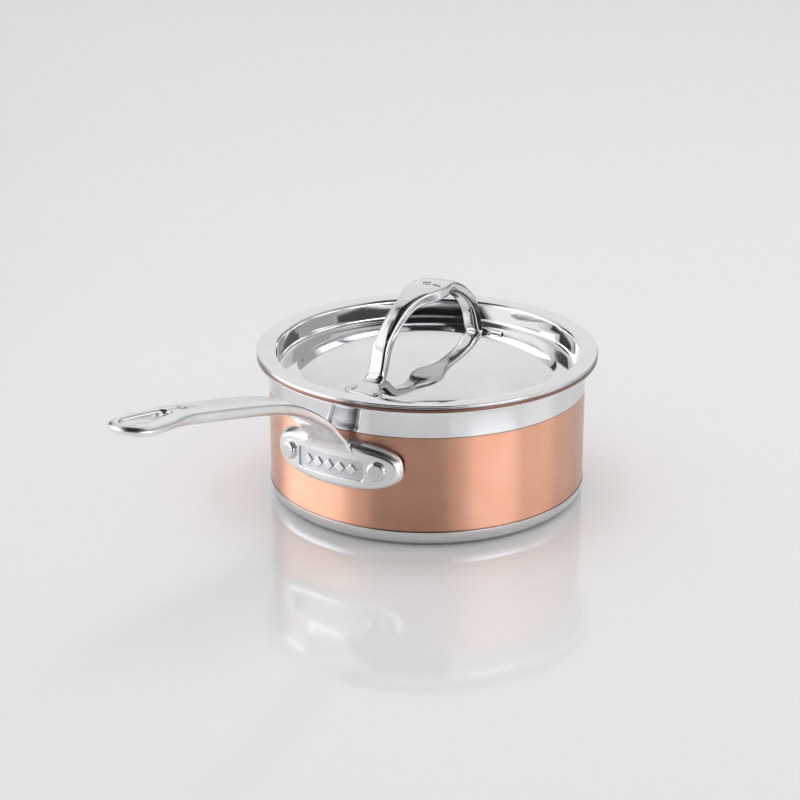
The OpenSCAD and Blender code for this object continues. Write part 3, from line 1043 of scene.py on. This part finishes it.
def rivet_profile(base, top, radius, shoulder, shank, bottom):
    """A rivet's head with a rounded shoulder, on a straight shank that ends at the bottom."""
    head = [(0.0, top), (radius - shoulder * HEAD_FLAT_BACK, top)]
    centre = (radius - shoulder, top - shoulder)
    head += arc(centre, shoulder, HEAD_SHOULDER_START, 0, SHOULDER_STEPS)
    return head + [(radius, base), (shank, base), (shank, bottom), (0.0, bottom)]


def add_handle_rivets():
    """Two rivets through the plate and the pan's wall."""
    profile = rivet_profile(PLATE_R - RIVET_SUNK, PLATE_R + RIVET_PROUD, RIVET_HEAD_R,
                            RIVET_SHOULDER, RIVET_R - RIVET_GAP, RIVET_END_R)
    for name, side in (("left", 1), ("right", -1)):
        place = Matrix.Rotation(side * RIVET_ANGLE, 4, "Z") @ Matrix.Translation((0, 0, PLATE_Z))
        place = place @ Matrix.Rotation(math.radians(90), 4, "Y")
        turned(f"handle_rivet_{name}_turned", profile[::-1], "pan", rivet_metal,
               f"handle_rivet_{name}", place, RIVET_SIDES)


def add_lid_rivets():
    """Two rivets through each foot and the lid's sheet, with a flat head underneath."""
    tail = -LID_T - FOOT_HEAD_T
    profile = rivet_profile(FOOT_T - FOOT_HEAD_SUNK, FOOT_T + FOOT_HEAD_T, FOOT_HEAD_R,
                            FOOT_HEAD_SHOULDER, FOOT_RIVET_R, -LID_T)
    profile = profile[:-1] + [(FOOT_HEAD_R, -LID_T), (FOOT_HEAD_R, tail), (0.0, tail)]
    lean = math.asin(math.hypot(FOOT_RIVET_X, FOOT_RIVET_Y) / DOME_R)
    for end_name, end in (("front", 1), ("back", -1)):
        for side_name, side in (("left", 1), ("right", -1)):
            heading = math.atan2(side * FOOT_RIVET_Y, end * FOOT_RIVET_X)
            place = Matrix.Translation((0, 0, DOME_CENTRE)) @ Matrix.Rotation(heading, 4, "Z")
            place = place @ Matrix.Rotation(lean, 4, "Y") @ Matrix.Translation((0, 0, DOME_R))
            name = f"lid_rivet_{end_name}_{side_name}"
            turned(f"{name}_turned", profile[::-1], "lid", rivet_metal, name, place,
                   LID_RIVET_SIDES)


# ---------------------------------------------------------------- studio


def flat_mesh(name, half_w, half_h, material):
    """A rectangle about its own origin."""
    mesh = bpy.data.meshes.new(name)
    turns = [(-1, -1), (1, -1), (1, 1), (-1, 1)]
    mesh.from_pydata([(a * half_w, b * half_h, 0) for a, b in turns], [], [(0, 1, 2, 3)])
    mesh.materials.append(material)
    return mesh


def put(name, data):
    """An object in the scene."""
    thing = bpy.data.objects.new(name, data)
    bpy.context.scene.collection.objects.link(thing)
    return thing


def aim(thing, azimuth, elevation, distance):
    """Puts a card or light in a direction from the studio's middle, facing the middle."""
    a, e = math.radians(azimuth), math.radians(elevation)
    away = Vector((math.cos(a) * math.cos(e), math.sin(a) * math.cos(e), math.sin(e)))
    thing.location = STUDIO_MIDDLE + away * distance
    thing.rotation_mode = "QUATERNION"
    thing.rotation_quaternion = away.to_track_quat("Z", "Y")


def edge_ramp(tree, output, soft):
    """Rises from 0 at both edges of a card to 1 at a share of its size further in."""
    _, split = split_coordinates(tree, "Generated")
    fold = tree.nodes.new("ShaderNodeMath")
    fold.operation = "PINGPONG"
    fold.inputs[1].default_value = 0.5
    link(tree, split, output, fold, 0)
    ramp = tree.nodes.new("ShaderNodeMapRange")
    ramp.interpolation_type = "SMOOTHSTEP"
    ramp.inputs["From Max"].default_value = soft
    link(tree, fold, "Value", ramp, "Value")
    return ramp


def card_material(name, colour, strength):
    """Light that fades at the card's edges to the studio's own level."""
    material = bpy.data.materials.new(name)
    material.use_nodes = True
    tree = material.node_tree
    tree.nodes.clear()
    soft = SOFT_EDGE if strength > STUDIO_LEVEL else FIRM_EDGE
    share = tree.nodes.new("ShaderNodeMath")
    share.operation = "MULTIPLY"
    link(tree, edge_ramp(tree, "X", soft), "Result", share, 0)
    link(tree, edge_ramp(tree, "Y", soft), "Result", share, 1)
    level = tree.nodes.new("ShaderNodeMapRange")
    level.inputs["To Min"].default_value = STUDIO_LEVEL
    level.inputs["To Max"].default_value = strength
    link(tree, share, "Value", level, "Value")
    emit = tree.nodes.new("ShaderNodeEmission")
    emit.inputs["Color"].default_value = (*colour, 1)
    link(tree, level, "Result", emit, "Strength")
    out = tree.nodes.new("ShaderNodeOutputMaterial")
    link(tree, emit, "Emission", out, "Surface")
    return material


def add_card(name, azimuth, elevation, half_w, half_h, distance, colour, strength):
    """A card that shows only in reflections, darker or brighter than the studio."""
    half_width = distance * math.tan(math.radians(half_w))
    half_height = distance * math.tan(math.radians(half_h))
    card = put(name, flat_mesh(name, half_width, half_height, card_material(name, colour, strength)))
    aim(card, azimuth, elevation, distance)
    card.visible_camera = False
    card.visible_diffuse = False


def add_top_light():
    """A soft light from above that doesn't show in reflections."""
    light = bpy.data.lights.new("key_top", "AREA")
    light.shape = "RECTANGLE"
    light.size = TOP_LIGHT_SIZE
    light.size_y = TOP_LIGHT_SIZE
    light.energy = TOP_LIGHT_POWER
    lamp = put("key_top", light)
    aim(lamp, *TOP_LIGHT_PLACE)
    lamp.visible_glossy = False


def add_floor():
    """A pale floor with a soft gloss, just under the pan."""
    material, _, shader = new_material("studio_floor")
    shader.inputs["Base Color"].default_value = (FLOOR_GREY, FLOOR_GREY, FLOOR_GREY, 1)
    shader.inputs["Roughness"].default_value = FLOOR_ROUGHNESS
    shader.inputs["Specular IOR Level"].default_value = FLOOR_SPECULAR
    floor = put("studio_floor", flat_mesh("studio_floor", FLOOR_HALF, FLOOR_HALF, material))
    floor.location.z = -FLOOR_DROP


def add_world():
    """An even white surround."""
    world = bpy.data.worlds.new("studio")
    world.use_nodes = True
    background = world.node_tree.nodes["Background"]
    background.inputs["Color"].default_value = (*WHITE, 1)
    background.inputs["Strength"].default_value = STUDIO_LEVEL
    bpy.context.scene.world = world
    bpy.context.scene.view_settings.view_transform = "Standard"


def add_camera():
    """A long lens, above the pan and to one side of its handle."""
    data = bpy.data.cameras.new("camera")
    data.lens = CAMERA_LENS
    data.sensor_width = CAMERA_SENSOR
    data.clip_start, data.clip_end = CAMERA_CLIP
    camera = put("camera", data)
    camera.location = CAMERA_TARGET + CAMERA_BACK * CAMERA_DISTANCE
    camera.rotation_mode = "QUATERNION"
    camera.rotation_quaternion = (-CAMERA_BACK).to_track_quat("-Z", "Y")
    bpy.context.scene.camera = camera


# ---------------------------------------------------------------- making

add_camera()
coarser = 1.0
add_liner()
add_core()
add_copper_wall()
add_rim_band()
add_base_shell()
add_lid_shell()
add_long_handle(coarser)
add_lid_handle(coarser)
add_handle_rivets()
add_lid_rivets()
add_floor()
add_world()
for card in CARDS:
    add_card(*card)
add_top_light()
